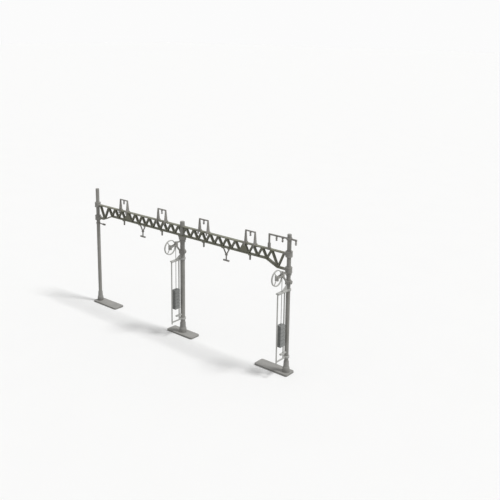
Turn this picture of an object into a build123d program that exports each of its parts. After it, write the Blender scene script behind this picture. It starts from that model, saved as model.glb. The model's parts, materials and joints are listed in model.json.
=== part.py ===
from build123d import *
import os
from math import atan2, degrees, hypot

# Railway catenary gantry with three masts and four portals, a small moulded plastic
# model. Millimetres. The origin is under the centre of the middle mast, +X runs along
# the beam to the right mast, +Y to the back, +Z up.

# Spacing of the portals along the beam, and of the outer masts beyond them
portal_spacing = 33.0
end_clearance = 25.0
outer_mast_x = 1.5 * portal_spacing + end_clearance
seat_clearance = 0.03

# Masts, and how far they stand above the beam
outer_mast_height = 74.8
outer_mast_above_beam = 10.1
middle_mast_above_beam = 2.75
outer_mast_radius = 1.1
middle_mast_radius = 1.35
mast_cap_bevel = 0.3

# Base plates and the stepped feet on them
plate_thickness = 1.0
plate_width = 7.0
plate_corner = 1.0
plate_heel = 2.8
plate_tongue = 18.5
middle_plate_reach = 10.0
foot_height = 5.9
foot_drum_height = 1.8
foot_wall = 0.75
foot_lip = 0.25
foot_step = 0.25

# Lattice beam: two flat chords with one zigzag web between them
beam_half_width = 1.15
beam_depth = 5.8
top_chord_height = 0.45
bottom_chord_height = 0.7
web_thickness = 1.5
web_width = 0.82
panels_each_side = 10
panels_to_splice = 7
end_panel_length = 7.9
haunch_run = 7.2
haunch_drop = 3.1

# Collars that hold the beam to the outer masts
collar_wall = 0.7
collar_height = 3.0
lug_reach = 2.9
lug_height = 2.0

# Eyes round the middle mast, and the saddle under the beam there
mast_eye_wall = 0.35
saddle_reach = 2.6
saddle_drop = 2.3

# Portals on top of the beam
portal_length = 6.8
portal_height = 7.0
portal_bar = 0.65
portal_leg = 0.55
portal_foot_width = 2.2
portal_head_width = 0.65
tab_drop = 1.6
tab_thickness = 0.3

# Few-sided forms for what is round but small
rod_sides = 10
band_sides = 20

# Small insulators
insulator_pin_radius = 0.26
insulator_shed_radius = 0.62
insulator_length = 2.3
insulator_sheds = 3
shed_thickness = 0.36

# Droppers and hangers under the beam
strap_thickness = 0.45
strap_width = 1.0
dropper_length = 3.2
dropper_radius = 0.5
dropper_tip = 0.28
hanger_spread = 2.2
hanger_neck = 3.9
hanger_length = 7.1
hanger_bar = 0.55
hanger_knot = 1.1
hanger_foot_radius = 0.5
hanger_foot_length = 3.9

# Wire bracket on the left mast
bracket_drop = 6.45
bracket_reach = 6.8
clip_wall = 0.2
clip_height = 0.9
band_wall = 0.4
band_height = 1.1
arm_radius = 0.34

# Feeder arm at the right mast, with its post and insulators measured from the mast
feeder_drop = 2.5
feeder_post_offset = 12.6
feeder_overhang = 4.5
feeder_bar = 0.75
feeder_insulator_offsets = (-8.0, -4.2, 4.0)
feeder_socket_height = 3.0
feeder_socket_width = 1.2

# Tension device: wheel and the forked bracket that carries it
wheel_drop = 4.6
wheel_offset = 9.75
wheel_radius = 4.25
wheel_rim = 0.5
wheel_width = 0.7
wheel_groove = 0.14
wheel_hub_radius = 0.9
wheel_hub_length = 0.8
wheel_spokes = 3
spoke_width = 0.45
spoke_thickness = 0.35
axle_radius = 0.4
running_clearance = 0.06
fork_cheek = 0.34
fork_arm = 0.8
axle_plate_width = 1.2
axle_plate_height = 2.8
knee_offset = 4.65
knee_rise = 0.8
knee_height = 2.9
knee_block = 0.5
knee_plate_width = 1.5
plate_rounding = 0.3
strut_thickness = 0.9
strut_width = 0.65
lower_strut_drop = 4.4
band_gap = 0.1
anchor_height = 1.9
anchor_reach = 0.9
knob_radius = 1.0
knob_reach = 0.4

# Tension device: guide frame, rope and weights
frame_top_drop = 8.6
frame_foot_gap = 2.5
frame_tail = 0.8
frame_plate_width = 2.0
frame_plate_height = 0.7
stay_rise = 2.8
stay_width = 1.2
guide_rod = 0.5
outer_rod_offset = 8.7
gusset_rise = 2.75
gusset_run = 4.35
gusset_thickness = 0.6
rope_radius = 0.2
rope_hole_radius = 0.42
weight_width = 3.8
weight_depth = 2.7
weight_share = 0.525
weight_plate = 1.7
weight_groove = 0.26
weight_groove_depth = 0.18
weight_plates = 6

# Heights that follow from the sizes above
beam_top_z = outer_mast_height - outer_mast_above_beam
beam_underside_z = beam_top_z - beam_depth
top_chord_z = beam_top_z - top_chord_height / 2
bottom_chord_z = beam_underside_z + bottom_chord_height / 2
lug_z = bottom_chord_z - haunch_drop
saddle_bottom_z = beam_underside_z - saddle_drop
middle_mast_height = beam_top_z + middle_mast_above_beam
portal_top_z = beam_top_z + portal_height
feeder_z = outer_mast_height - feeder_drop
wire_bracket_z = beam_underside_z - bracket_drop
wheel_z = beam_underside_z - wheel_drop
frame_top_z = wheel_z - frame_top_drop
frame_bottom_z = plate_thickness + foot_height + frame_foot_gap
weight_top_z = frame_bottom_z + weight_share * (frame_top_z - frame_bottom_z)

# Places that follow from the sizes above
beam_half_length = outer_mast_x - lug_reach
web_pitch = (beam_half_length - end_panel_length) / (panels_each_side + 0.5)
haunch_x = panels_each_side * web_pitch
haunch_low_x = haunch_x + haunch_run
portal_x = [(n - 1.5) * portal_spacing for n in range(4)]
hanger_x = (-portal_spacing, portal_spacing)
groove_slope = 2 * wheel_groove / wheel_width
rope_line = wheel_radius - wheel_groove + hypot(1, groove_slope) * rope_radius + seat_clearance
rope_y = rope_line - wheel_offset

os.makedirs("parts", exist_ok=True)


def save(piece, label):
    """Label a finished piece and write it as a STEP file of the same name."""
    piece.part.label = label
    export_step(piece.part, f"parts/{label}.step")


def bar(start, end, width):
    """A straight flat bar between two points of the open sketch."""
    run, rise = end[0] - start[0], end[1] - start[1]
    middle = ((start[0] + end[0]) / 2, (start[1] + end[1]) / 2, 0)
    with Locations(Location(middle, (0, 0, degrees(atan2(rise, run))))):
        Rectangle(hypot(run, rise), width)


def box_at(low, high):
    """A block between two corners, added to the open part."""
    centre = tuple((a + b) / 2 for a, b in zip(low, high))
    with Locations(centre):
        Box(*[b - a for a, b in zip(low, high)])


def side_plane(x):
    """A sketch plane across the beam: local x is +Y and local y is +Z."""
    return Plane(origin=(x, 0, 0), x_dir=(0, 1, 0), z_dir=(1, 0, 0))


def band(x, z, radius, height):
    """A solid band round a mast, added to the open part and centred on the height z."""
    with BuildSketch(Plane((x, 0, z - height / 2))) as section:
        RegularPolygon(radius, band_sides)
    extrude(section.sketch, amount=height)


def mast_bore(x, mast_radius, low, high):
    """Clear the open part of the mast that runs through it."""
    with BuildSketch(Plane((x, 0, low))) as section:
        RegularPolygon(mast_radius + seat_clearance, band_sides, major_radius=False)
    extrude(section.sketch, amount=high - low, mode=Mode.SUBTRACT)


def round_rod(start, direction, radius, length, sides=rod_sides):
    """A slim rod from start along direction, added to the open part."""
    with BuildSketch(Plane(start, z_dir=direction)) as section:
        RegularPolygon(radius, sides)
    extrude(section.sketch, amount=length)


def insulator(start, direction):
    """A ribbed pin insulator from start along direction, added to the open part."""
    round_rod(start, direction, insulator_pin_radius, insulator_length)
    pitch = insulator_length / insulator_sheds
    for shed in range(insulator_sheds):
        along = (shed + 0.5) * pitch - shed_thickness / 2
        place = tuple(s + along * d for s, d in zip(start, direction))
        round_rod(place, direction, insulator_shed_radius, shed_thickness)


# Masts

def make_mast(label, x, radius, height):
    with BuildPart() as mast:
        with BuildSketch(Plane((x, 0, plate_thickness))):
            Circle(radius)
        extrude(amount=height - plate_thickness)
        chamfer(mast.edges().sort_by(Axis.Z)[-1], mast_cap_bevel)
    save(mast, label)


make_mast("left_mast", -outer_mast_x, outer_mast_radius, outer_mast_height)
make_mast("middle_mast", 0, middle_mast_radius, middle_mast_height)
make_mast("right_mast", outer_mast_x, outer_mast_radius, outer_mast_height)


# Base plates, each with the stepped foot that the mast stands in

def foot_stage(x, low, low_radius, high, high_radius):
    """One straight-sided stage of a foot, added to the open part."""
    with BuildSketch(Plane((x, 0, low))) as lower:
        RegularPolygon(low_radius, band_sides)
    with BuildSketch(Plane((x, 0, high))) as upper:
        RegularPolygon(high_radius, band_sides)
    loft([lower.sketch.face(), upper.sketch.face()])


def make_base(label, x, radius, reach_left, reach_right):
    sleeve = radius + foot_wall
    drum_z = plate_thickness + foot_drum_height
    shoulder_z = plate_thickness + foot_height / 2
    foot_top_z = plate_thickness + foot_height
    with BuildPart() as base:
        with BuildSketch(Plane((x, 0, 0))):
            with Locations(((reach_right - reach_left) / 2, 0)):
                RectangleRounded(reach_left + reach_right, plate_width, plate_corner)
        extrude(amount=plate_thickness)
        foot_stage(x, plate_thickness, sleeve, drum_z, sleeve)
        foot_stage(x, drum_z, sleeve, shoulder_z, sleeve - foot_step)
        foot_stage(x, shoulder_z, sleeve - 1.5 * foot_step, foot_top_z, radius + foot_lip)
        mast_bore(x, radius, plate_thickness, foot_top_z)
    save(base, label)


make_base("left_base", -outer_mast_x, outer_mast_radius, plate_heel, plate_tongue)
make_base("middle_base", 0, middle_mast_radius, middle_plate_reach, middle_plate_reach)
make_base("right_base", outer_mast_x, outer_mast_radius, plate_tongue, plate_heel)


# Lattice beam: the web on each side of the middle mast, and the chords that it joins

def chord_line(z, drop):
    """Points along a chord, which comes down by drop over its two haunches."""
    stations = (-beam_half_length, -haunch_low_x, -haunch_x,
                haunch_x, haunch_low_x, beam_half_length)
    return [(x, z - (drop if abs(x) > haunch_x else 0)) for x in stations]


def raised(line, rise):
    return [(x, z + rise) for x, z in line]


def make_web(label, side):
    """The zigzag from the middle mast out to one end, with one panel filled at the splice."""
    half_panels = range(2 * panels_each_side + 2)
    corners = [(n * web_pitch / 2, top_chord_z if n % 2 else bottom_chord_z) for n in half_panels]
    corners += [(haunch_low_x, lug_z), (beam_half_length, top_chord_z)]
    corners = [(side * x, z) for x, z in corners]
    under_top_chord = raised(chord_line(top_chord_z, 0), -top_chord_height / 2)
    over_bottom_chord = raised(chord_line(bottom_chord_z, haunch_drop), bottom_chord_height / 2)
    with BuildPart() as web:
        with BuildSketch(Plane.XZ.offset(-web_thickness / 2)):
            for start, end in zip(corners, corners[1:]):
                bar(start, end, web_width)
            Polygon(*corners[2 * panels_to_splice:2 * panels_to_splice + 3], align=None)
            Polygon(*under_top_chord, *reversed(over_bottom_chord), align=None,
                    mode=Mode.INTERSECT)
        extrude(amount=web_thickness)
        mast_bore(0, middle_mast_radius, beam_underside_z, beam_top_z)
    save(web, label)


make_web("left_web", -1)
make_web("right_web", 1)


def make_chord(label, mid_z, drop, height):
    """A flat strip along the beam, with an eye round the middle mast."""
    line = chord_line(mid_z, drop)
    with BuildPart() as chord:
        with BuildSketch(Plane.XZ.offset(-beam_half_width)):
            Polygon(*raised(line, -height / 2), *reversed(raised(line, height / 2)), align=None)
        extrude(amount=2 * beam_half_width)
        band(0, mid_z, middle_mast_radius + mast_eye_wall, height)
        mast_bore(0, middle_mast_radius, mid_z - height, mid_z + height)
    save(chord, label)


make_chord("top_chord", top_chord_z, 0, top_chord_height)
make_chord("bottom_chord", bottom_chord_z, haunch_drop, bottom_chord_height)


# Saddle that carries the beam on the middle mast: a sleeve, and a curved gusset each way

with BuildPart() as saddle:
    root = middle_mast_radius + mast_eye_wall
    with BuildSketch(Plane.XZ.offset(-beam_half_width)):
        hollow_x = root + (saddle_reach - root) * 0.36
        hollow_z = beam_underside_z - saddle_drop * 0.38
        with BuildLine():
            Line((-saddle_reach, beam_underside_z), (saddle_reach, beam_underside_z))
            ThreePointArc(
                (saddle_reach, beam_underside_z), (hollow_x, hollow_z), (root, saddle_bottom_z)
            )
            Line((root, saddle_bottom_z), (-root, saddle_bottom_z))
            ThreePointArc(
                (-root, saddle_bottom_z), (-hollow_x, hollow_z), (-saddle_reach, beam_underside_z)
            )
        make_face()
    extrude(amount=2 * beam_half_width)
    band(0, beam_underside_z - saddle_drop / 2, root, saddle_drop)
    mast_bore(0, middle_mast_radius, saddle_bottom_z, beam_underside_z)
save(saddle, "middle_saddle")


# Collars round the outer masts, each with a lug that the beam's chords end on

def make_collar(label, x, z, chord_height, deepens):
    """A collar whose lug deepens towards the mast: down for -1, up for 1."""
    lug_end = x - lug_reach if x > 0 else x + lug_reach
    flush_z, inner_z = z - deepens * chord_height / 2, z + deepens * chord_height / 2
    with BuildPart() as collar:
        with BuildSketch(Plane.XZ.offset(-beam_half_width)):
            Polygon((lug_end, flush_z), (x, flush_z), (x, flush_z + deepens * lug_height),
                    (lug_end, inner_z), align=None)
        extrude(amount=2 * beam_half_width)
        band(x, z, outer_mast_radius + collar_wall, collar_height)
        mast_bore(x, outer_mast_radius, z - collar_height, z + collar_height)
    save(collar, label)


for side, x in (("left", -outer_mast_x), ("right", outer_mast_x)):
    make_collar(f"{side}_upper_collar", x, top_chord_z, top_chord_height, -1)
    make_collar(f"{side}_lower_collar", x, lug_z, bottom_chord_height, 1)


# Portals on the beam, evenly spaced, with an insulator under each head bar

def make_portal(label, x):
    strap_top_z = beam_top_z + strap_thickness
    half_foot, half_head = portal_foot_width / 2, portal_head_width / 2
    outside = beam_half_width + tab_thickness
    with BuildPart() as portal:
        for end in (-1, 1):
            leg_x = x + end * (portal_length - portal_leg) / 2
            left_x, right_x = leg_x - strap_width / 2, leg_x + strap_width / 2
            with BuildSketch(side_plane(leg_x - portal_leg / 2)):
                Polygon((-half_foot, strap_top_z), (half_foot, strap_top_z),
                        (half_head, portal_top_z), (-half_head, portal_top_z), align=None)
            extrude(amount=portal_leg)
            box_at((left_x, -outside, beam_top_z), (right_x, outside, strap_top_z))
            for low_y, high_y in ((-outside, -beam_half_width), (beam_half_width, outside)):
                box_at((left_x, low_y, beam_top_z - tab_drop), (right_x, high_y, strap_top_z))
        box_at((x - portal_length / 2, -portal_head_width / 2, portal_top_z - portal_bar),
               (x + portal_length / 2, portal_head_width / 2, portal_top_z))
    save(portal, label)


for number, x in enumerate(portal_x, start=1):
    make_portal(f"portal_{number}", x)
    with BuildPart() as portal_insulator:
        insulator((x, 0, portal_top_z - portal_bar), (0, 0, -1))
    save(portal_insulator, f"portal_insulator_{number}")


# Droppers under the beam, one below each portal

def strap_at(x, top_z):
    """A flat strap across the underside of the beam, added to the open part."""
    box_at((x - strap_width / 2, -beam_half_width, top_z - strap_thickness),
           (x + strap_width / 2, beam_half_width, top_z))


for number, x in enumerate(portal_x, start=1):
    with BuildPart() as dropper:
        strap_at(x, beam_underside_z)
        round_rod((x, 0, beam_underside_z - strap_thickness), (0, 0, -1),
                  dropper_radius, dropper_length - strap_thickness)
        chamfer(dropper.edges().group_by(Axis.Z)[0], dropper_tip)
    save(dropper, f"dropper_{number}")


# Hangers under the beam, half way between two portals: a V, a post and a foot bar

def make_hanger(label, x):
    shoulder_z = beam_underside_z - strap_thickness / 2
    neck_z = beam_underside_z - hanger_neck
    foot_z = beam_underside_z - hanger_length
    with BuildPart() as hanger:
        for side in (-1, 1):
            strap_at(x + side * hanger_spread, beam_underside_z)
        with BuildSketch(Plane.XZ.offset(-hanger_bar / 2)):
            for side in (-1, 1):
                bar((x + side * hanger_spread, shoulder_z), (x, neck_z), hanger_bar)
            bar((x, neck_z + hanger_bar / 2), (x, foot_z), hanger_bar)
        extrude(amount=hanger_bar)
        round_rod((x - hanger_knot / 2, 0, neck_z), (1, 0, 0), hanger_knot / 2, hanger_knot)
        round_rod((x - hanger_foot_length / 2, 0, foot_z), (1, 0, 0),
                  hanger_foot_radius, hanger_foot_length)
    save(hanger, label)


for side, x in zip(("left", "right"), hanger_x):
    make_hanger(f"{side}_hanger", x)


# Wire bracket on the left mast: a band, a short arm and the insulator at its end

with BuildPart() as wire_bracket:
    arm_start = -outer_mast_x + outer_mast_radius + clip_wall / 2
    arm_end = -outer_mast_x + bracket_reach - insulator_length
    band(-outer_mast_x, wire_bracket_z, outer_mast_radius + clip_wall, clip_height)
    round_rod((arm_start, 0, wire_bracket_z), (1, 0, 0), arm_radius, arm_end - arm_start)
    insulator((arm_end, 0, wire_bracket_z), (1, 0, 0))
    mast_bore(-outer_mast_x, outer_mast_radius,
              wire_bracket_z - clip_height, wire_bracket_z + clip_height)
save(wire_bracket, "left_wire_bracket")


# Feeder arm: a post on the beam, and a bar from it past the right mast

with BuildPart() as feeder_arm:
    post_x = outer_mast_x - feeder_post_offset
    bar_half = feeder_bar / 2
    socket_half = feeder_socket_width / 2
    box_at((post_x - strap_width / 2, -beam_half_width, beam_top_z),
           (post_x + strap_width / 2, beam_half_width, beam_top_z + strap_thickness))
    box_at((post_x - socket_half, -socket_half, beam_top_z + strap_thickness / 2),
           (post_x + socket_half, socket_half, beam_top_z + feeder_socket_height))
    box_at((post_x - bar_half, -bar_half, beam_top_z + strap_thickness),
           (post_x + bar_half, bar_half, feeder_z + bar_half))
    box_at((post_x - bar_half, -bar_half, feeder_z - bar_half),
           (outer_mast_x + feeder_overhang, bar_half, feeder_z + bar_half))
    band(outer_mast_x, feeder_z, outer_mast_radius + band_wall, band_height)
    mast_bore(outer_mast_x, outer_mast_radius, feeder_z - band_height, feeder_z + band_height)
save(feeder_arm, "feeder_arm")

with BuildPart() as feeder_insulators:
    for offset in feeder_insulator_offsets:
        insulator((outer_mast_x + offset, 0, feeder_z - feeder_bar / 2), (0, 0, -1))
save(feeder_insulators, "feeder_insulators")


# Tension device on the side of a mast: wheel, bracket, guide frame, rope and weights

def make_wheel(label, x):
    rim_inside = wheel_radius - wheel_rim
    with BuildPart() as wheel:
        with BuildSketch(Plane((x, -wheel_offset, wheel_z), x_dir=(1, 0, 0), z_dir=(0, -1, 0))):
            with BuildLine():
                Polyline(
                    (-wheel_width / 2, rim_inside),
                    (-wheel_width / 2, wheel_radius),
                    (0, wheel_radius - wheel_groove),
                    (wheel_width / 2, wheel_radius),
                    (wheel_width / 2, rim_inside),
                    close=True,
                )
            make_face()
        revolve(axis=Axis((x, -wheel_offset, wheel_z), (1, 0, 0)))
        with BuildSketch(side_plane(x - spoke_thickness / 2)):
            with Locations((-wheel_offset, wheel_z)):
                with PolarLocations(0, wheel_spokes):
                    Rectangle(rim_inside + wheel_rim / 2, spoke_width, align=(Align.MIN, Align.CENTER))
        extrude(amount=spoke_thickness)
        with BuildSketch(side_plane(x - wheel_hub_length / 2)):
            with Locations((-wheel_offset, wheel_z)):
                RegularPolygon(wheel_hub_radius, band_sides)
        extrude(amount=wheel_hub_length)
        with BuildSketch(side_plane(x - wheel_hub_length / 2)):
            with Locations((-wheel_offset, wheel_z)):
                RegularPolygon(axle_radius + running_clearance, rod_sides, major_radius=False)
        extrude(amount=wheel_hub_length, mode=Mode.SUBTRACT)
    save(wheel, label)


def make_wheel_bracket(label, x, mast_radius, upper_z):
    """Two bands, two struts out to a tall knee, and a fork from the knee to the axle."""
    knee_y, knee_z = -knee_offset, wheel_z + knee_rise
    axle = (-wheel_offset, wheel_z)
    lower_z = wheel_z - lower_strut_drop
    on_band_y = -mast_radius - band_wall / 2
    strut_ends = knee_height / 2 - strut_width / 2
    fork_inside = wheel_hub_length / 2 + running_clearance
    fork_outside = fork_inside + fork_cheek
    with BuildPart() as bracket:
        band(x, upper_z, mast_radius + band_wall, band_height)
        band(x, lower_z, mast_radius + band_wall, anchor_height)
        with BuildSketch(side_plane(x - strut_thickness / 2)) as struts:
            bar((knee_y, knee_z + strut_ends), (on_band_y, upper_z), strut_width)
            bar((knee_y, knee_z - strut_ends), (on_band_y, lower_z), strut_width)
        extrude(struts.sketch, amount=strut_thickness)
        for start_x in (x - fork_outside, x + fork_inside):
            with BuildSketch(side_plane(start_x)) as cheek:
                bar(axle, (knee_y, knee_z), fork_arm)
                with Locations(axle):
                    RectangleRounded(axle_plate_width, axle_plate_height, plate_rounding)
                with Locations((knee_y + knee_block / 2 - knee_plate_width / 2, knee_z)):
                    RectangleRounded(knee_plate_width, knee_height, plate_rounding)
            extrude(cheek.sketch, amount=fork_cheek)
        box_at((x - fork_outside, knee_y - knee_block / 2, knee_z - strut_ends),
               (x + fork_outside, knee_y + knee_block / 2, knee_z + strut_ends))
        round_rod((x - fork_outside, *axle), (1, 0, 0), axle_radius, 2 * fork_outside)
        box_at((x - strut_thickness / 2, on_band_y - anchor_reach, lower_z - anchor_height / 2),
               (x + strut_thickness / 2, on_band_y, lower_z + anchor_height / 2))
        round_rod((x + mast_radius, 0, lower_z), (1, 0, 0), knob_radius,
                  band_wall + knob_reach, band_sides)
        mast_bore(x, mast_radius, lower_z - anchor_height, upper_z + band_height)
    save(bracket, label)


def make_guide_frame(label, x, mast_radius):
    inner_rod_y = rope_y + weight_width / 2 + guide_rod
    half_plate = frame_plate_width / 2
    half_rod = guide_rod / 2
    half_height = frame_plate_height / 2
    with BuildPart() as frame:
        for z in (frame_top_z, frame_bottom_z):
            band(x, z, mast_radius + band_wall, band_height)
        box_at((x - half_plate, -outer_rod_offset - half_rod, frame_top_z - half_height),
               (x + half_plate, 0, frame_top_z + half_height))
        box_at((x - half_rod, -outer_rod_offset, frame_bottom_z - half_height),
               (x + half_rod, 0, frame_bottom_z + half_height))
        box_at((x - stay_width / 2, rope_y, frame_bottom_z + stay_rise - half_height),
               (x + stay_width / 2, 0, frame_bottom_z + stay_rise + half_height))
        for y, tail in ((-outer_rod_offset, frame_tail), (inner_rod_y, 0)):
            box_at((x - half_rod, y - half_rod, frame_bottom_z - half_height - tail),
                   (x + half_rod, y + half_rod, frame_top_z))
        with BuildSketch(side_plane(x - gusset_thickness / 2)):
            with BuildLine():
                Polyline((0, frame_top_z), (-mast_radius - gusset_run, frame_top_z + half_height),
                         (-mast_radius, frame_top_z + half_height + gusset_rise),
                         (0, frame_top_z + half_height + gusset_rise), close=True)
            make_face()
        extrude(amount=gusset_thickness)
        with BuildSketch(Plane((x, rope_y, frame_top_z - frame_plate_height))):
            RegularPolygon(rope_hole_radius, rod_sides, major_radius=False)
        extrude(amount=2 * frame_plate_height + gusset_rise, mode=Mode.SUBTRACT)
        mast_bore(x, mast_radius, frame_bottom_z - band_height,
                  frame_top_z + frame_plate_height + gusset_rise)
    save(frame, label)


def make_rope(label, x):
    with BuildPart() as rope:
        round_rod((x, rope_y, weight_top_z), (0, 0, 1), rope_radius, wheel_z - weight_top_z)
    save(rope, label)


def make_weights(label, x):
    """A stack of plates, parted by grooves all round."""
    pitch = weight_plate + weight_groove
    half_depth, half_width = weight_depth / 2, weight_width / 2
    core_depth, core_width = half_depth - weight_groove_depth, half_width - weight_groove_depth
    stack_bottom_z = weight_top_z - weight_plates * pitch + weight_groove
    with BuildPart() as weights:
        box_at((x - core_depth, rope_y - core_width, stack_bottom_z),
               (x + core_depth, rope_y + core_width, weight_top_z))
        for n in range(weight_plates):
            top = weight_top_z - n * pitch
            box_at((x - half_depth, rope_y - half_width, top - weight_plate),
                   (x + half_depth, rope_y + half_width, top))
    save(weights, label)


middle_band_z = saddle_bottom_z - band_gap - band_height / 2
right_band_z = lug_z - collar_height / 2 - band_gap - band_height / 2
for name, x, mast_radius, band_z in (
    ("middle", 0, middle_mast_radius, middle_band_z),
    ("right", outer_mast_x, outer_mast_radius, right_band_z),
):
    make_wheel(f"{name}_tension_wheel", x)
    make_wheel_bracket(f"{name}_wheel_bracket", x, mast_radius, band_z)
    make_guide_frame(f"{name}_guide_frame", x, mast_radius)
    make_rope(f"{name}_rope", x)
    make_weights(f"{name}_weights", x)
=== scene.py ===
import json
import math

import bmesh
import bpy
from mathutils import Matrix, Vector


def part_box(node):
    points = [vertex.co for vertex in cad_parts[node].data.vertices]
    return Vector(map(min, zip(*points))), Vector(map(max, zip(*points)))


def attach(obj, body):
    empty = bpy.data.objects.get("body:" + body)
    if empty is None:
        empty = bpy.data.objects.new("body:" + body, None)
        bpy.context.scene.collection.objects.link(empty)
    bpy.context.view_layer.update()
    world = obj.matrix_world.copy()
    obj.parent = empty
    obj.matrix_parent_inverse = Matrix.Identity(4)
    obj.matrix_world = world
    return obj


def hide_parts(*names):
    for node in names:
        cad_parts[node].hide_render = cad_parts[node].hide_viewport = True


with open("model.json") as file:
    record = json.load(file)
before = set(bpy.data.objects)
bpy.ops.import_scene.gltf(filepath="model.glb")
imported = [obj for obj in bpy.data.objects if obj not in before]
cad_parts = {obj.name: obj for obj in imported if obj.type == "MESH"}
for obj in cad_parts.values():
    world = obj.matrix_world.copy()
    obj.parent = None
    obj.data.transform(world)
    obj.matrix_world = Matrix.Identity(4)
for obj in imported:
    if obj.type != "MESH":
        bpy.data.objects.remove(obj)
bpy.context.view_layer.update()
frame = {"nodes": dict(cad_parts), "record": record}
nodes = frame["nodes"]
scene = bpy.context.scene
scene.view_settings.view_transform = "Standard"

# Pieces are modelled in millimetres and brought to metres when they are done
MM = 0.001
UP = (0, 0, 1)
DOWN = (0, 0, -1)
ALONG_BEAM = (1, 0, 0)


# Camera: the photograph's viewing angle, fitted to the masts, the beam and its portals

CAMERA_PLACE = (0.2712, -0.2734, 0.1743)
CAMERA_AZIMUTH = math.radians(39.152)
CAMERA_ELEVATION = math.radians(11.749)
CAMERA_ROLL = math.radians(0.843)
CAMERA_LENS = 50.76
CAMERA_SENSOR = 36.0
CAMERA_SHIFT_Y = -0.15
NEAREST_SEEN = 0.005
FARTHEST_SEEN = 20.0


def make_camera():
    data = bpy.data.cameras.new("photo_camera")
    data.sensor_width = CAMERA_SENSOR
    data.lens = CAMERA_LENS
    data.shift_y = CAMERA_SHIFT_Y
    data.clip_start = NEAREST_SEEN
    data.clip_end = FARTHEST_SEEN
    camera = bpy.data.objects.new("photo_camera", data)
    scene.collection.objects.link(camera)
    level = Vector((math.cos(CAMERA_AZIMUTH), math.sin(CAMERA_AZIMUTH), 0))
    forward = Vector((-math.sin(CAMERA_AZIMUTH), math.cos(CAMERA_AZIMUTH), 0))
    ahead = math.cos(CAMERA_ELEVATION) * forward - math.sin(CAMERA_ELEVATION) * Vector(UP)
    above = level.cross(ahead)
    right = math.cos(CAMERA_ROLL) * level + math.sin(CAMERA_ROLL) * above
    up = right.cross(ahead)
    turn = Matrix((right, up, -ahead)).transposed()
    camera.matrix_world = Matrix.Translation(Vector(CAMERA_PLACE)) @ turn.to_4x4()
    scene.camera = camera


make_camera()


# Shader maths

class Wire:
    """One value on its way through the nodes of a finish."""

    def __init__(self, finish, socket):
        self.finish = finish
        self.socket = socket

    def maths(self, operation, first, second):
        return self.finish.node("ShaderNodeMath", {"operation": operation}, {0: first, 1: second})

    def __add__(self, other):
        return self.maths("ADD", self, other)

    def __sub__(self, other):
        return self.maths("SUBTRACT", self, other)

    def __rsub__(self, other):
        return self.maths("SUBTRACT", other, self)

    def __mul__(self, other):
        return self.maths("MULTIPLY", self, other)

    __radd__ = __add__
    __rmul__ = __mul__

    def __abs__(self):
        return self.maths("ABSOLUTE", self, 0.0)

    def under(self, limit):
        """1 where the value is less than the limit, and 0 elsewhere."""
        return self.maths("LESS_THAN", self, limit)

    def between(self, low, high):
        """Rises from 0 at low to 1 at high."""
        return self.finish.node("ShaderNodeMapRange", {"clamp": True},
                                {"Value": self, "From Min": low, "From Max": high})


class Finish:
    """The nodes of a material, or of the world's light, while they are being made."""

    SPECULAR_LEVEL = 0.35
    COAT_ROUGHNESS = 0.35

    def __init__(self, owner):
        self.owner = owner
        owner.use_nodes = True
        self.tree = owner.node_tree
        self.tree.nodes.clear()

    def node(self, kind, settings, sockets, output=0):
        """Add a node: its settings are set first, then the values or links of its sockets."""
        made = self.tree.nodes.new(kind)
        for key, value in settings.items():
            setattr(made, key, value)
        for key, value in sockets.items():
            if isinstance(value, Wire):
                self.tree.links.new(value.socket, made.inputs[key])
            else:
                made.inputs[key].default_value = value
        return Wire(self, made.outputs[output]) if len(made.outputs) else made

    def place(self):
        """Where a point lies in the object's own coordinates, in metres."""
        return self.node("ShaderNodeTexCoord", {}, {}, "Object")

    def stretched(self, scale):
        return self.node("ShaderNodeMapping", {}, {"Vector": self.place(), "Scale": scale})

    def noise(self, scale, detail, place=None):
        sockets = {"Vector": place or self.place(), "Scale": scale, "Detail": detail}
        return self.node("ShaderNodeTexNoise", {}, sockets, "Fac")

    def across(self, vector):
        """The x, y and z of a vector."""
        parts = self.node("ShaderNodeSeparateXYZ", {}, {"Vector": vector}).socket.node
        return [Wire(self, socket) for socket in parts.outputs]

    def blend(self, factor, first, second):
        """A colour between two others."""
        sockets = {0: factor, 6: first, 7: second}
        return self.node("ShaderNodeMix", {"data_type": "RGBA"}, sockets, 2)

    def bump(self, height, depth, normal=None):
        """A relief of this depth in millimetres, on top of an earlier one if it is given."""
        sockets = {"Height": height, "Strength": 1.0, "Distance": depth * MM}
        if normal:
            sockets["Normal"] = normal
        return self.node("ShaderNodeBump", {}, sockets)

    def seen(self):
        """1 where the camera looks, straight or by a glossy reflection, and 0 for other light."""
        straight = self.node("ShaderNodeLightPath", {}, {}, "Is Camera Ray")
        glossy = Wire(self, straight.socket.node.outputs["Is Glossy Ray"])
        return straight.maths("MAXIMUM", straight, glossy)

    def done(self, colour, roughness, normal, coat=0.0):
        shader = self.node("ShaderNodeBsdfPrincipled", {}, {
            "Base Color": colour, "Roughness": roughness, "Normal": normal, "Coat Weight": coat,
            "Coat Roughness": self.COAT_ROUGHNESS, "Specular IOR Level": self.SPECULAR_LEVEL})
        self.node("ShaderNodeOutputMaterial", {}, {"Surface": shader})
        return self.owner


def rgb(red, green, blue):
    return (red, green, blue, 1.0)


def scaled(colour, factor):
    return rgb(*[channel * factor for channel in colour[:3]])


# Finishes: matte moulded plastic in several greys. A tone multiplies the plastic's own colour,
# and a strength says how much of that tone shows. Depths and widths are in millimetres.

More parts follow.
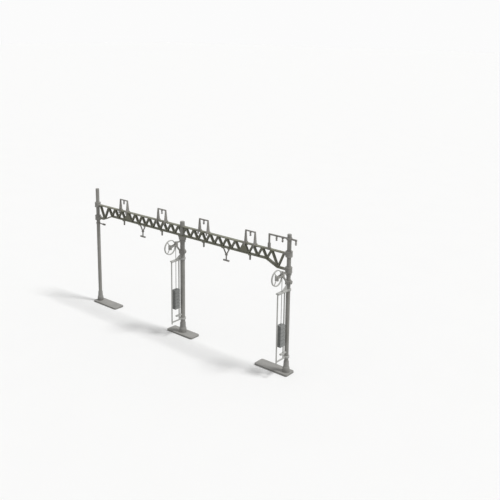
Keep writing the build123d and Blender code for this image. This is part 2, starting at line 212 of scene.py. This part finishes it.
PLAIN_GRAIN = 0.006
COARSE_GRAIN = 0.01
WEIGHT_GRAIN = 0.012
GRAIN_SCALE = 5200
MOTTLE_SCALE = 210
MOTTLE_DEPTH = 0.02
DARK_MOTTLE_TONE = 0.9
PALE_MOTTLE_TONE = 1.1
STREAK_STRETCH = (90, 1500, 420)
STREAK_TONE = 1.22
STREAK_STRENGTH = 0.35
# Paler patches on upward faces: dust, and painted light from above
DUST_AND_TOP_LIGHT_SCALE = 900
DUST_AND_TOP_LIGHT_TONE = 1.5
DUST_AND_TOP_LIGHT_STRENGTH = 0.3
# Paler patches along the edges: wear, and a painted highlight
WEAR_AND_HIGHLIGHT_SCALE = 1400
WEAR_AND_HIGHLIGHT_TONE = 1.55
WEAR_AND_HIGHLIGHT_STRENGTH = 0.45
WEAR_AND_HIGHLIGHT_RADIUS = 0.09
PARTING_HALF_WIDTH = 0.035
PARTING_DEPTH = 0.02
PARTING_TONE = 1.4
PARTING_STRENGTH = 0.25
PLAIN_ROUGHNESS = 0.5
MOTTLE_ROUGHNESS = 0.16
DUST_ROUGHNESS = 0.12


def mottled(finish, colour, mottle):
    """The plastic's own colour, a little darker and paler from place to place."""
    dark, pale = scaled(colour, DARK_MOTTLE_TONE), scaled(colour, PALE_MOTTLE_TONE)
    tone = finish.blend(mottle.between(0.32, 0.68), dark, pale)
    streaks = finish.noise(1.0, 3.0, finish.stretched(STREAK_STRETCH))
    share = streaks.between(0.45, 0.7) * STREAK_STRENGTH
    return finish.blend(share, tone, scaled(colour, STREAK_TONE))


def worn_and_highlit_edges(finish, normal):
    """1 along the outer edges, in patches: wear, and a painted highlight where the edges catch
    light.
    """
    sockets = {"Radius": WEAR_AND_HIGHLIGHT_RADIUS * MM}
    rounded = finish.node("ShaderNodeBevel", {"samples": 4}, sockets)
    facing = finish.node("ShaderNodeVectorMath", {"operation": "DOT_PRODUCT"},
                         {0: rounded, 1: normal}, "Value")
    return (1 - facing).between(0.01, 0.16) * finish.noise(WEAR_AND_HIGHLIGHT_SCALE, 3.0).between(0.3, 0.62)


def moulded_plastic(name, colour, grain=PLAIN_GRAIN, coat=0.0, parting=True, sides=0.0):
    """Fine grain, flow streaks and mottling, dust with painted top light, paler edges of wear
    with a painted highlight, and a parting line.

    Sides is how much paler the faces that look along the beam are, as painted light, or darker if
    under 0, as painted shade."""
    finish = Finish(bpy.data.materials.new(name))
    mottle = finish.noise(MOTTLE_SCALE, 4.0)
    normal = finish.node("ShaderNodeNewGeometry", {}, {}, "Normal")
    along_beam, _, up = finish.across(normal)
    # Upward faces paler in patches: dust, and painted top light
    dust_and_top_light = up.between(0.35, 0.95) * finish.noise(DUST_AND_TOP_LIGHT_SCALE, 4.0).between(0.35, 0.75)
    wear_and_highlight = worn_and_highlit_edges(finish, normal)
    tone = mottled(finish, colour, mottle)
    # Painted light and shade: faces that look along the beam are paler, or darker if sides is
    # under 0
    if sides:
        tone = finish.blend(abs(along_beam).between(0.5, 0.9), tone, scaled(colour, 1 + sides))
    # Painted top light with dust: upward faces paler
    tone = finish.blend(dust_and_top_light * DUST_AND_TOP_LIGHT_STRENGTH, tone, scaled(colour, DUST_AND_TOP_LIGHT_TONE))
    # Paler edges: wear, and a painted highlight
    tone = finish.blend(wear_and_highlight * WEAR_AND_HIGHLIGHT_STRENGTH, tone, scaled(colour, WEAR_AND_HIGHLIGHT_TONE))
    relief = finish.bump(finish.noise(GRAIN_SCALE, 2.0), grain)
    relief = finish.bump(mottle, MOTTLE_DEPTH, relief)
    if parting:
        depth = finish.across(finish.place())[1]
        line = abs(depth).under(PARTING_HALF_WIDTH * MM)
        relief = finish.bump(line, PARTING_DEPTH, relief)
        tone = finish.blend(line * PARTING_STRENGTH, tone, scaled(colour, PARTING_TONE))
    roughness = PLAIN_ROUGHNESS + mottle * MOTTLE_ROUGHNESS + dust_and_top_light * DUST_ROUGHNESS
    return finish.done(tone, roughness, relief, coat)


MAST_COLOUR = rgb(0.3, 0.295, 0.275)
BASE_COLOUR = rgb(0.29, 0.285, 0.27)
# The beam's grey is darker than the masts' partly as painted shade among its bars
BEAM_COLOUR = rgb(0.2, 0.2, 0.155)
FITTING_COLOUR = rgb(0.29, 0.28, 0.262)
INSULATOR_COLOUR = rgb(0.27, 0.26, 0.24)
DEVICE_COLOUR = rgb(0.46, 0.46, 0.44)
WEIGHT_COLOUR = rgb(0.2, 0.205, 0.2)

finishes = {
    "mast_grey": moulded_plastic("mast_plastic", MAST_COLOUR),
    "base_grey": moulded_plastic("base_plastic", BASE_COLOUR, COARSE_GRAIN),
    # The beam's faces that look along it are darker: painted shade
    "beam_grey": moulded_plastic("beam_plastic", BEAM_COLOUR, sides=-0.4),
    "fitting_grey": moulded_plastic("fitting_plastic", FITTING_COLOUR),
    "insulator_grey": moulded_plastic("insulator_plastic", INSULATOR_COLOUR, coat=0.25),
    "device_grey": moulded_plastic("device_plastic", DEVICE_COLOUR, parting=False),
    # The weights' faces that look along the beam are paler: painted light
    "weight_grey": moulded_plastic("weight_plastic", WEIGHT_COLOUR, WEIGHT_GRAIN, parting=False,
                                   sides=0.4),
}
slot_of = {part["node"]: part["material_slot"] for part in frame["record"]["subparts"]}
for name, node in nodes.items():
    node.data.materials.clear()
    node.data.materials.append(finishes[slot_of[name]])


# Modelling helpers

MERGE_DISTANCE = 1e-4
FLAT_ANGLE = math.radians(1.5)
SHADING_ANGLE = math.radians(42)


def span(name):
    """The lowest and highest corner of a CAD node, in millimetres."""
    return [Vector(corner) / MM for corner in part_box(name)]


def centre(name):
    low, high = span(name)
    return (low + high) / 2


def mast_radius(name):
    low, high = span(name)
    return (high.y - low.y) / 2


def soften(work, width, segments=2, sharp=28):
    """Round off every edge of the work that turns by more than sharp degrees."""
    limit = math.radians(sharp)
    edges = [e for e in work.edges if len(e.link_faces) == 2 and e.calc_face_angle() > limit]
    bmesh.ops.bevel(work, geom=edges, affect="EDGES", offset=width, offset_type="OFFSET",
                    segments=segments, profile=0.5, material=-1, clamp_overlap=True)


def settled(work, place, axis):
    """Turn what is in the work from standing on Z to lying along the axis, then move it."""
    turn = Vector(UP).rotation_difference(Vector(axis)).to_matrix()
    bmesh.ops.transform(work, matrix=Matrix.Translation(place) @ turn.to_4x4(), verts=work.verts)


def add(work, detail):
    """Put a finished detail into the piece, and let it go."""
    mesh = bpy.data.meshes.new("detail")
    detail.to_mesh(mesh)
    detail.free()
    work.from_mesh(mesh)
    bpy.data.meshes.remove(mesh)


def turned(work, outline, place, axis=UP, sides=40, edge=0.05, segments=2, closed=False):
    """Add a lathe-turned form. The outline is (radius, height) from bottom to top."""
    form = bmesh.new()
    verts = [form.verts.new((radius, 0, height)) for radius, height in outline]
    pairs = list(zip(verts, verts[1:]))
    if closed:
        pairs.append((verts[-1], verts[0]))
    edges = [form.edges.new(pair) for pair in pairs]
    bmesh.ops.spin(form, geom=verts + edges, cent=(0, 0, 0), axis=UP, dvec=(0, 0, 0),
                   angle=2 * math.pi, steps=sides, use_merge=True)
    bmesh.ops.remove_doubles(form, verts=form.verts, dist=MERGE_DISTANCE)
    bmesh.ops.recalc_face_normals(form, faces=form.faces)
    soften(form, edge, segments)
    settled(form, place, axis)
    add(work, form)


def rod(work, start, axis, radius, length, sides=24, edge=0.06):
    outline = [(0, 0), (radius, 0), (radius, length), (0, length)]
    turned(work, outline, start, axis, sides, edge)


def ring(work, place, inner, outer, height, axis=UP, sides=48, edge=0.07):
    """A band of this height, centred on its place."""
    half = height / 2
    outline = [(inner, -half), (outer, -half), (outer, half), (inner, half)]
    turned(work, outline, place, axis, sides, edge, closed=True)


def block(work, low, high, edge):
    """A box between two corners."""
    form = bmesh.new()
    bmesh.ops.create_cube(form, size=1.0)
    bmesh.ops.scale(form, vec=Vector(high) - Vector(low), verts=form.verts)
    bmesh.ops.translate(form, vec=(Vector(high) + Vector(low)) / 2, verts=form.verts)
    soften(form, edge)
    add(work, form)


def prism(work, outline, start, depth, edge):
    """Add a flat form. The outline's corners are vectors from start, drawn out by the depth."""
    form = bmesh.new()
    face = form.faces.new([form.verts.new(Vector(start) + Vector(corner)) for corner in outline])
    drawn = bmesh.ops.extrude_face_region(form, geom=[face])
    moved = [item for item in drawn["geom"] if isinstance(item, bmesh.types.BMVert)]
    bmesh.ops.translate(form, vec=Vector(depth), verts=moved)
    bmesh.ops.recalc_face_normals(form, faces=form.faces)
    soften(form, edge)
    add(work, form)


def copied(name, edge, segments=2):
    """The merged faces of a CAD node with softened edges, as a new work."""
    work = bmesh.new()
    work.from_mesh(nodes[name].data)
    bmesh.ops.scale(work, vec=(1 / MM, 1 / MM, 1 / MM), verts=work.verts)
    bmesh.ops.remove_doubles(work, verts=work.verts, dist=MERGE_DISTANCE)
    bmesh.ops.dissolve_limit(work, angle_limit=FLAT_ANGLE, use_dissolve_boundaries=False,
                             verts=work.verts, edges=work.edges, delimit=set())
    soften(work, edge, segments)
    return work


def finished(work, name):
    """Make the piece's object from the work, and let it stand for its CAD node."""
    bmesh.ops.scale(work, vec=(MM, MM, MM), verts=work.verts)
    mesh = bpy.data.meshes.new(name)
    work.to_mesh(mesh)
    work.free()
    mesh.shade_smooth()
    mesh.set_sharp_from_angle(angle=SHADING_ANGLE)
    piece = bpy.data.objects.new(name + "_moulding", mesh)
    scene.collection.objects.link(piece)
    mesh.materials.append(finishes[slot_of[name]])
    shading = piece.modifiers.new("even_shading", "WEIGHTED_NORMAL")
    shading.keep_sharp = True
    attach(piece, "root")
    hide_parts(name)


# Small hardware that several pieces carry. The foot of a head is sunk into what it stands on.

HEAD_SINK = 0.1


def bolt(work, place, axis, radius, height):
    """A small hexagonal head that stands on a face."""
    outline = [(0, -HEAD_SINK), (radius, -HEAD_SINK), (radius, height), (0, height)]
    turned(work, outline, place, axis, sides=6, edge=0.04)


def rivet(work, place, axis, radius, height):
    """A small domed head that stands on a face."""
    outline = [(0, -HEAD_SINK), (radius, -HEAD_SINK), (radius, height * 0.4),
               (radius * 0.62, height), (0, height)]
    turned(work, outline, place, axis, sides=12, edge=0.03)


INSULATOR_PIN = 0.26
INSULATOR_SHED = 0.62
INSULATOR_CAP_BORE = 0.1
SHED_THICKNESS = 0.36
SHED_RIM_SHARE = 0.6
SHEDS = 3


def insulator(work, start, axis, length):
    """A pin with rounded sheds."""
    pitch = length / SHEDS
    half = SHED_THICKNESS / 2
    rim = half * SHED_RIM_SHARE
    outline = [(0, 0), (INSULATOR_PIN, 0)]
    for shed in range(SHEDS):
        middle = (shed + 0.5) * pitch
        outline += [(INSULATOR_PIN, middle - half), (INSULATOR_SHED, middle - rim),
                    (INSULATOR_SHED, middle + rim), (INSULATOR_PIN, middle + half)]
    outline += [(INSULATOR_PIN, length), (0, length)]
    turned(work, outline, start, axis, sides=28, edge=0.08, segments=3)


def insulator_cap(work, place, radius, height, axis=UP):
    """A small ring at the end where an insulator is held."""
    ring(work, place, INSULATOR_CAP_BORE, radius, height, axis, sides=24, edge=0.05)


SEAT_CLEARANCE = 0.03
PROUD = 0.02
BAND_WALL = 0.4
BAND_HEIGHT = 1.1


def band(work, mast, z, height=BAND_HEIGHT):
    """A band round the mast that clears it, and stands a little proud of the CAD node's band."""
    radius = mast_radius(mast)
    outer = radius + BAND_WALL + PROUD
    ring(work, (centre(mast).x, 0, z), radius + SEAT_CLEARANCE, outer, height + PROUD)


# Masts and bases

CAP_ROUNDING = 0.3
FOOT_HEIGHT = 5.9
FOOT_WALL = 0.75
FOOT_STEP = 0.25
FOOT_LIP = 0.25
FOOT_SINK = 0.2
DRUM_HEIGHT = 1.8
PLATE_THICKNESS = 1.0
PLATE_CORNER = 1.0
PLATE_EDGE = 0.12


def make_mast(name):
    low, high = span(name)
    radius, length = mast_radius(name), high.z - low.z
    work = bmesh.new()
    outline = [(0, 0), (radius, 0), (radius, length), (0, length)]
    turned(work, outline, (centre(name).x, 0, low.z), sides=64, edge=CAP_ROUNDING, segments=4)
    finished(work, name)


def plate(work, low, high):
    """The flat base plate, with its four corners rounded."""
    form = bmesh.new()
    bmesh.ops.create_cube(form, size=1.0)
    size = (high.x - low.x, high.y - low.y, PLATE_THICKNESS)
    bmesh.ops.scale(form, vec=size, verts=form.verts)
    upright = [e for e in form.edges if e.verts[0].co.xy == e.verts[1].co.xy]
    bmesh.ops.bevel(form, geom=upright, affect="EDGES", offset=PLATE_CORNER, segments=6,
                    profile=0.5, material=-1)
    soften(form, PLATE_EDGE, sharp=40)
    place = ((low.x + high.x) / 2, 0, PLATE_THICKNESS / 2)
    bmesh.ops.translate(form, vec=place, verts=form.verts)
    add(work, form)


def foot(work, mast):
    """The stepped foot that the mast stands in: a drum, a shoulder and a long taper."""
    radius = mast_radius(mast)
    bore, sleeve, middle = radius + SEAT_CLEARANCE, radius + FOOT_WALL, FOOT_HEIGHT / 2
    outline = [(bore, -FOOT_SINK), (sleeve, -FOOT_SINK), (sleeve, DRUM_HEIGHT),
               (sleeve - FOOT_STEP, middle), (sleeve - 1.5 * FOOT_STEP, middle),
               (radius + FOOT_LIP, FOOT_HEIGHT), (bore, FOOT_HEIGHT)]
    place = (centre(mast).x, 0, PLATE_THICKNESS)
    turned(work, outline, place, sides=56, edge=0.07, closed=True)


for side in ("left", "middle", "right"):
    make_mast(f"{side}_mast")
    work = bmesh.new()
    plate(work, *span(f"{side}_base"))
    foot(work, f"{side}_mast")
    finished(work, f"{side}_base")


# Beam: webs, chords and saddle, with a rivet head where the web's bars meet. The size of a
# rivet or bolt is the radius and height of its head.

PANELS = 10
END_PANEL = 7.9
BOTTOM_CHORD_HEIGHT = 0.7
SPLICED = 7
WEB_RIVET = (0.17, 0.1)
WEB_RIVET_INSET = 0.35
SPLICE_RIVET_PITCH = 0.9
SPLICE_RIVET_RISE = 0.3
SPLICE_RIVET_DROP = 0.7


def make_web(side):
    """The zigzag with its rivets, and four more on the filled splice panel."""
    name = f"{side}_web"
    outwards = -1 if side == "left" else 1
    pitch = (span("top_chord")[1].x - END_PANEL) / (PANELS + 0.5)
    upper_z = span("top_chord")[0].z - WEB_RIVET_INSET
    lower_z = span("dropper_1")[1].z + BOTTOM_CHORD_HEIGHT + WEB_RIVET_INSET
    face_y = span(name)[1].y
    heads = [(n * pitch / 2, upper_z if n % 2 else lower_z) for n in range(1, 2 * PANELS + 2)]
    splice_x, middle_z = (SPLICED + 0.5) * pitch, (upper_z + lower_z) / 2
    heads.append((splice_x, middle_z + SPLICE_RIVET_RISE))
    for step in (-1, 0, 1):
        heads.append((splice_x + step * SPLICE_RIVET_PITCH, middle_z - SPLICE_RIVET_DROP))
    work = copied(name, edge=0.08)
    for x, z in heads:
        for face in (-1, 1):
            rivet(work, (outwards * x, face * face_y, z), (0, face, 0), *WEB_RIVET)
    finished(work, name)


for side in ("left", "right"):
    make_web(side)
finished(copied("top_chord", edge=0.1), "top_chord")
finished(copied("bottom_chord", edge=0.1), "bottom_chord")
finished(copied("middle_saddle", edge=0.09), "middle_saddle")


# Collars round the outer masts, with a lip at each end and two bolts through the lug

COLLAR_HEIGHT = 3.0
COLLAR_WALL = 0.7
COLLAR_CLEARANCE = 0.05
LIP_HEIGHT = 0.5
LIP_WALL = 0.06
LIP_INSET = 0.3
LUG_BOLT = (0.2, 0.12)
LUG_BOLT_REACHES = (2.0, 2.6)
LUG_FACE = span("dropper_1")[1].y


def make_collar(side, level):
    name, mast = f"{side}_{level}_collar", f"{side}_mast"
    low, high = span(name)
    middle = high.z - COLLAR_HEIGHT / 2 if level == "upper" else low.z + COLLAR_HEIGHT / 2
    mast_x, radius = centre(mast).x, mast_radius(mast)
    inner, outer = radius + COLLAR_CLEARANCE, radius + COLLAR_WALL
    work = copied(name, edge=0.06)
    for end in (-1, 1):
        place = (mast_x, 0, middle + end * (COLLAR_HEIGHT / 2 - LIP_INSET))
        ring(work, place, inner, outer + LIP_WALL, LIP_HEIGHT)
    ring(work, (mast_x, 0, middle), inner, outer, COLLAR_HEIGHT - LIP_INSET)
    inwards = 1 if side == "left" else -1
    for reach in LUG_BOLT_REACHES:
        for face in (-1, 1):
            place = (mast_x + inwards * reach, face * LUG_FACE, middle)
            bolt(work, place, (0, face, 0), *LUG_BOLT)
    finished(work, name)


for side in ("left", "right"):
    for level in ("upper", "lower"):
        make_collar(side, level)


# Portals with their insulators, droppers and hangers. A cap's size is its radius and height.

PORTAL_CAP = (0.42, 0.3)
PORTAL_CAP_DROP = 0.08
TAB_RIVET = (0.2, 0.12)
TAB_RIVET_INSET = 0.5
TAB_RIVET_RISE = 0.55
STRAP_THICKNESS = 0.45
DROPPER_RADIUS = 0.5
DROPPER_TIP = 0.28
DROPPER_TIP_RADIUS = 0.22
DROPPER_BAND_BORE = 0.3
DROPPER_BAND_RADIUS = 0.62
DROPPER_BAND_HEIGHT = 0.3
DROPPER_BAND_DROP = 0.2
HANGER_FOOT_RADIUS = 0.5
HANGER_FOOT_LENGTH = 3.9
HANGER_NECK = 3.9
HANGER_KNOT = 1.1
KNOT_BOLT = (0.26, 0.15)
CAD_ROD_SIDES = 10


def make_portal(number):
    name, hung = f"portal_{number}", f"portal_insulator_{number}"
    low, high = span(name)
    middle = centre(name).x
    hung_low, hung_high = span(hung)
    work = copied(name, edge=0.08)
    for end_x in (low.x + TAB_RIVET_INSET, high.x - TAB_RIVET_INSET):
        for face_y, out in ((low.y, -1), (high.y, 1)):
            rivet(work, (end_x, face_y, low.z + TAB_RIVET_RISE), (0, out, 0), *TAB_RIVET)
    insulator_cap(work, (middle, 0, hung_high.z - PORTAL_CAP_DROP), *PORTAL_CAP)
    finished(work, name)
    work = bmesh.new()
    insulator(work, (middle, 0, hung_high.z), DOWN, hung_high.z - hung_low.z)
    finished(work, hung)


def make_dropper(number):
    """A strap across the beam's underside, and a round stub with a tapered tip and a band."""
    name = f"dropper_{number}"
    low, high = span(name)
    middle, top_z = centre(name).x, high.z - STRAP_THICKNESS
    length = top_z - low.z
    work = bmesh.new()
    block(work, (low.x, low.y, top_z), high, edge=0.06)
    outline = [(0, 0), (DROPPER_RADIUS, 0), (DROPPER_RADIUS, length - DROPPER_TIP),
               (DROPPER_TIP_RADIUS, length), (0, length)]
    turned(work, outline, (middle, 0, top_z), DOWN, sides=28, edge=0.08)
    ring(work, (middle, 0, top_z - DROPPER_BAND_DROP), DROPPER_BAND_BORE, DROPPER_BAND_RADIUS,
         DROPPER_BAND_HEIGHT, sides=28, edge=0.06)
    finished(work, name)


def crossbar(work, x, z, radius, length):
    """A round bar along the beam, centred on x and a little longer than the CAD node's."""
    rod(work, (x - length / 2 - PROUD / 2, 0, z), ALONG_BEAM, radius, length + PROUD)


def make_hanger(side):
    """The Y with its foot bar, and a knot with two bolts where the arms meet."""
    name = f"{side}_hanger"
    low, high = span(name)
    middle = centre(name).x
    foot_z = low.z + HANGER_FOOT_RADIUS * math.cos(math.pi / CAD_ROD_SIDES)
    neck_z = high.z - HANGER_NECK
    work = copied(name, edge=0.05)
    crossbar(work, middle, foot_z, HANGER_FOOT_RADIUS, HANGER_FOOT_LENGTH)
    crossbar(work, middle, neck_z, HANGER_KNOT / 2, HANGER_KNOT)
    for face in (-1, 1):
        place = (middle + face * HANGER_KNOT / 2, 0, neck_z)
        bolt(work, place, (face, 0, 0), *KNOT_BOLT)
    finished(work, name)


for number in (1, 2, 3, 4):
    make_portal(number)
    make_dropper(number)
for side in ("left", "right"):
    make_hanger(side)


# Wire bracket on the left mast, and the feeder arm at the right one

INSULATOR_LENGTH = 2.3
CLIP_WALL = 0.2
CLIP_HEIGHT = 0.9
CLIP_BOLT = (0.26, 0.1)
ARM_RADIUS = 0.34
ARM_CLEARANCE = 0.05
ARM_CAP = (0.46, 0.35)
ARM_CAP_INSET = 0.15
FEEDER_INSULATORS = (-8.0, -4.2, 4.0)
FEEDER_CAP = (0.42, 0.24)
FEEDER_CAP_DROP = 0.12
FEEDER_POST = 12.6
SOCKET_FACE = 0.6
SOCKET_BOLT = (0.22, 0.12)
SOCKET_BOLT_RISES = (1.4, 2.4)
BAND_BOLT = (0.28, 0.12)


def make_wire_bracket():
    """A clip round the mast, and a short arm that ends in an insulator."""
    name, mast = "left_wire_bracket", "left_mast"
    low, high = span(name)
    mast_x, radius = centre(mast).x, mast_radius(mast)
    z = (low.z + high.z) / 2
    clip = radius + CLIP_WALL
    arm_start = mast_x + radius + ARM_CLEARANCE
    arm_end = high.x - INSULATOR_LENGTH
    work = bmesh.new()
    ring(work, (mast_x, 0, z), radius + SEAT_CLEARANCE, clip, CLIP_HEIGHT, edge=0.05)
    rod(work, (arm_start, 0, z), ALONG_BEAM, ARM_RADIUS, arm_end - arm_start)
    insulator_cap(work, (arm_end - ARM_CAP_INSET, 0, z), *ARM_CAP, axis=ALONG_BEAM)
    insulator(work, (arm_end, 0, z), ALONG_BEAM, INSULATOR_LENGTH)
    bolt(work, (mast_x - clip, 0, z), (-1, 0, 0), *CLIP_BOLT)
    finished(work, name)


def make_feeder_arm():
    """The post and its bar, with bolts through the socket and through the band."""
    name, mast = "feeder_arm", "right_mast"
    low, high = span(name)
    mast_x = centre(mast).x
    bar_z = high.z - BAND_HEIGHT / 2
    work = copied(name, edge=0.06)
    band(work, mast, bar_z)
    for face in (-1, 1):
        for rise in SOCKET_BOLT_RISES:
            place = (mast_x - FEEDER_POST, face * SOCKET_FACE, low.z + rise)
            bolt(work, place, (0, face, 0), *SOCKET_BOLT)
        place = (mast_x, face * (mast_radius(mast) + BAND_WALL), bar_z)
        bolt(work, place, (0, face, 0), *BAND_BOLT)
    finished(work, name)


def make_feeder_insulators():
    name = "feeder_insulators"
    low, high = span(name)
    work = bmesh.new()
    for offset in FEEDER_INSULATORS:
        x = centre("right_mast").x + offset
        insulator(work, (x, 0, high.z), DOWN, high.z - low.z)
        insulator_cap(work, (x, 0, high.z - FEEDER_CAP_DROP), *FEEDER_CAP)
    finished(work, name)


make_wire_bracket()
make_feeder_arm()
make_feeder_insulators()


# Tension devices: wheel, bracket, guide frame, rope and weights

RIM_DEPTH = 0.5
RIM_WIDTH = 0.7
RIM_HOLLOW = 0.14
GROOVE_DEPTH = 0.14
HUB_RADIUS = 0.9
HUB_LENGTH = 0.8
HUB_BORE = 0.47
SPOKES = 3
SPOKE_THICKNESS = 0.35
SPOKE_HALF_ROOT = 0.32
SPOKE_HALF_TIP = 0.19
SPOKE_START = 0.7
SPOKE_IN_RIM = 0.1
AXLE_RADIUS = 0.4
AXLE_COVER = 0.03
AXLE_BOLT = (0.34, 0.14)
RUNNING_CLEARANCE = 0.06
FORK_CHEEK = 0.34
BAND_GAP = 0.1
KNOB_RADIUS = 1.0
KNOB_BOLT = (0.4, 0.16)
ANCHOR_HEIGHT = 1.9
GUSSET_RISE = 2.75
FRAME_PLATE_HEIGHT = 0.7
FRAME_TAIL = 0.8
FRAME_RIVET = (0.3, 0.16)
FRAME_RIVET_INSET = 0.35
ROPE_LAY = 1.3
ROPE_STEPS_PER_TURN = 9
ROPE_VALLEY = 0.72
ROPE_SIDES = 12
ROPE_EYE_BORE = 0.22
ROPE_EYE_RADIUS = 0.55
ROPE_EYE_HEIGHT = 0.3
ROPE_EYE_RISE = 0.05


def make_wheel(side):
    """A rim with its groove, tapered spokes and a bored hub."""
    name = f"{side}_tension_wheel"
    low, high = span(name)
    middle = (low + high) / 2
    radius = (high.y - low.y) / 2
    inside, half = radius - RIM_DEPTH, RIM_WIDTH / 2
    work = bmesh.new()
    outline = [(inside, -half), (radius, -half), (radius - GROOVE_DEPTH, 0), (radius, half),
               (inside, half), (inside + RIM_HOLLOW, 0)]
    turned(work, outline, middle, ALONG_BEAM, sides=96, closed=True)
    ring(work, middle, HUB_BORE, HUB_RADIUS, HUB_LENGTH, ALONG_BEAM, sides=40)
    for spoke in range(SPOKES):
        angle = spoke * 2 * math.pi / SPOKES
        out = Vector((0, math.cos(angle), math.sin(angle)))
        beside = Vector((0, -math.sin(angle), math.cos(angle)))
        root, tip = out * SPOKE_START, out * (inside + SPOKE_IN_RIM)
        corners = [root - beside * SPOKE_HALF_ROOT, tip - beside * SPOKE_HALF_TIP,
                   tip + beside * SPOKE_HALF_TIP, root + beside * SPOKE_HALF_ROOT]
        start = middle - Vector((SPOKE_THICKNESS / 2, 0, 0))
        prism(work, corners, start, (SPOKE_THICKNESS, 0, 0), edge=0.07)
    finished(work, name)


def make_wheel_bracket(side, mast, held_below):
    """The fork on its two bands, with the axle's ends and the knob on the lower band."""
    name = f"{side}_wheel_bracket"
    low, high = span(name)
    axle = centre(f"{side}_tension_wheel")
    upper_z = span(held_below)[0].z - BAND_GAP - BAND_HEIGHT / 2
    lower_z = low.z + ANCHOR_HEIGHT / 2
    work = copied(name, edge=0.05)
    band(work, mast, upper_z)
    band(work, mast, lower_z, ANCHOR_HEIGHT)
    axle_half = HUB_LENGTH / 2 + RUNNING_CLEARANCE + FORK_CHEEK + PROUD
    axle_start = (axle.x - axle_half, axle.y, axle.z)
    rod(work, axle_start, ALONG_BEAM, AXLE_RADIUS + AXLE_COVER, 2 * axle_half, edge=0.05)
    for face in (-1, 1):
        bolt(work, (axle.x + face * axle_half, axle.y, axle.z), (face, 0, 0), *AXLE_BOLT)
    knob_x = centre(mast).x + mast_radius(mast)
    knob_end = high.x + PROUD
    rod(work, (knob_x, 0, lower_z), ALONG_BEAM, KNOB_RADIUS + PROUD, knob_end - knob_x,
        sides=32, edge=0.12)
    bolt(work, (knob_end, 0, lower_z), ALONG_BEAM, *KNOB_BOLT)
    finished(work, name)


def make_guide_frame(side, mast):
    name = f"{side}_guide_frame"
    low, high = span(name)
    top_z = high.z - GUSSET_RISE - FRAME_PLATE_HEIGHT / 2
    bottom_z = low.z + FRAME_TAIL + FRAME_PLATE_HEIGHT / 2
    work = copied(name, edge=0.08)
    band(work, mast, top_z)
    band(work, mast, bottom_z)
    rivet_place = (centre(mast).x, low.y + FRAME_RIVET_INSET, top_z + FRAME_PLATE_HEIGHT / 2)
    rivet(work, rivet_place, UP, *FRAME_RIVET)
    finished(work, name)


def make_rope(side):
    """Three strands laid together: a lobed circle swept up in one long twist."""
    name = f"{side}_rope"
    low, high = span(name)
    length = high.z - low.z
    steps = int(length / ROPE_LAY * ROPE_STEPS_PER_TURN)
    work = bmesh.new()
    circle = bmesh.ops.create_circle(work, segments=ROPE_SIDES, radius=(high.x - low.x) / 2)
    for valley in circle["verts"][::4]:
        valley.co *= ROPE_VALLEY
    bmesh.ops.spin(work, geom=work.verts[:] + work.edges[:], cent=(0, 0, 0), axis=UP,
                   dvec=(0, 0, length / steps), angle=steps * 2 * math.pi / ROPE_STEPS_PER_TURN,
                   steps=steps, use_merge=False)
    rims = [edge for edge in work.edges if edge.is_boundary]
    bmesh.ops.holes_fill(work, edges=rims, sides=ROPE_SIDES)
    bmesh.ops.recalc_face_normals(work, faces=work.faces)
    place = (centre(name).x, centre(name).y, low.z)
    bmesh.ops.translate(work, vec=place, verts=work.verts)
    finished(work, name)


def make_weights(side):
    """The stack of plates, with a small ring on top round the rope's foot."""
    name = f"{side}_weights"
    middle, top_z = centre(name), span(name)[1].z
    work = copied(name, edge=0.08, segments=3)
    ring(work, (middle.x, middle.y, top_z + ROPE_EYE_RISE), ROPE_EYE_BORE, ROPE_EYE_RADIUS,
         ROPE_EYE_HEIGHT, sides=28, edge=0.06)
    finished(work, name)


for side, mast, held_below in (("middle", "middle_mast", "middle_saddle"),
                               ("right", "right_mast", "right_lower_collar")):
    make_wheel(side)
    make_wheel_bracket(side, mast, held_below)
    make_guide_frame(side, mast)
    make_rope(side)
    make_weights(side)


# Light and floor

AMBIENT = 0.5
BACKDROP = 0.967
WHITE = rgb(1.0, 1.0, 1.0)
WINDOW_LIGHT = Vector((0.5, 0.15, 0.85))
WINDOW_STRENGTH = 2.0
WINDOW_SOFTNESS = math.radians(13)
FLOOR_HALF_SIZE = 6.0
FLOOR_DROP = 0.00002
FLOOR_PALE = rgb(0.91, 0.91, 0.905)
FLOOR_PALER = rgb(0.94, 0.94, 0.935)
FLOOR_UNSEEN = rgb(0.45, 0.45, 0.44)
FLOOR_CLOUD_SCALE = 30
FLOOR_RELIEF = 0.01
FLOOR_ROUGHNESS = 0.9


def make_world():
    """Even light from all round, and a pale backdrop where the camera looks."""
    scene.world = bpy.data.worlds.new("studio")
    light = Finish(scene.world)
    strength = light.node("ShaderNodeMapRange", {},
                          {"Value": light.seen(), "To Min": AMBIENT, "To Max": BACKDROP})
    glow = light.node("ShaderNodeBackground", {}, {"Color": WHITE, "Strength": strength})
    light.node("ShaderNodeOutputWorld", {}, {"Surface": glow})


def make_window_light():
    """A soft distant lamp."""
    data = bpy.data.lights.new("window_light", "SUN")
    data.angle = WINDOW_SOFTNESS
    data.energy = WINDOW_STRENGTH
    lamp = bpy.data.objects.new("window_light", data)
    scene.collection.objects.link(lamp)
    lamp.rotation_euler = (-WINDOW_LIGHT).to_track_quat("-Z", "Y").to_euler()


def make_floor():
    """A plain floor, pale where the camera looks and darker in the light that it throws back."""
    work = bmesh.new()
    bmesh.ops.create_grid(work, x_segments=1, y_segments=1, size=FLOOR_HALF_SIZE)
    mesh = bpy.data.meshes.new("floor")
    work.to_mesh(mesh)
    work.free()
    floor = bpy.data.objects.new("floor", mesh)
    scene.collection.objects.link(floor)
    floor.location.z = -FLOOR_DROP
    finish = Finish(bpy.data.materials.new("pale_floor"))
    cloudy = finish.noise(FLOOR_CLOUD_SCALE, 3.0)
    pale = finish.blend(cloudy * 0.5, FLOOR_PALE, FLOOR_PALER)
    colour = finish.blend(finish.seen(), FLOOR_UNSEEN, pale)
    mesh.materials.append(finish.done(colour, FLOOR_ROUGHNESS, finish.bump(cloudy, FLOOR_RELIEF)))


make_world()
make_window_light()
make_floor()
